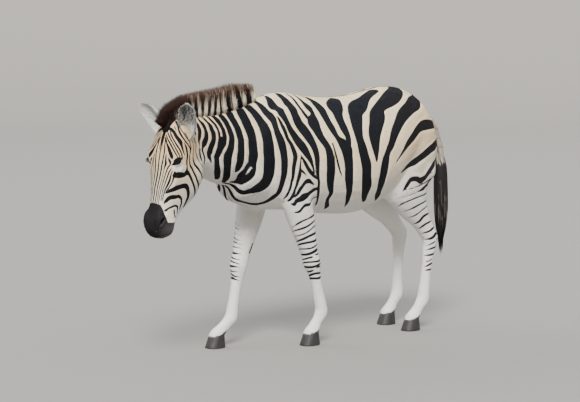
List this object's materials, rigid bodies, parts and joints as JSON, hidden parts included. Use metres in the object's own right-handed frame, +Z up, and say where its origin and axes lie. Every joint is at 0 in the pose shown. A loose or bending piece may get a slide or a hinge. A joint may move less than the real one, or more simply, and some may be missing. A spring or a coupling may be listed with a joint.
{
  "type": "plains zebra figure",
  "caption": "Life-size still plains zebra, walking stance with head lowered: striped hide, upright mane, cupped ears, dark hooves, tufted tail",
  "frame": {"origin": "on the ground under the middle of the whole animal's bounding box, with the soles at z = 0", "axes": "+Z up; the animal faces -Y, its tail towards +Y, its own left side towards +X; the longest extent lies along Y"},
  "size_m": [0.602, 2.089, 1.3423],
  "materials": {
    "hide": "matte short hair, near-black stripes over cream to white",
    "mane_hair": "matte coarse hair, dark brown to black",
    "hoof_horn": "satin dark grey horn",
    "eye_glass": "glossy, very dark brown"
  },
  "bodies": {
    "root": {"ear_left": "hide", "ear_right": "hide", "foreleg_left": "hide", "foreleg_right": "hide", "head": "hide", "hindleg_left": "hide", "hindleg_right": "hide", "neck": "hide", "tail": "hide", "trunk": "hide", "mane": "mane_hair", "tail_tuft": "mane_hair", "hoof_fore_left": "hoof_horn", "hoof_fore_right": "hoof_horn", "hoof_hind_left": "hoof_horn", "hoof_hind_right": "hoof_horn", "eye_left": "eye_glass", "eye_right": "eye_glass"}
  },
  "joints": []
}
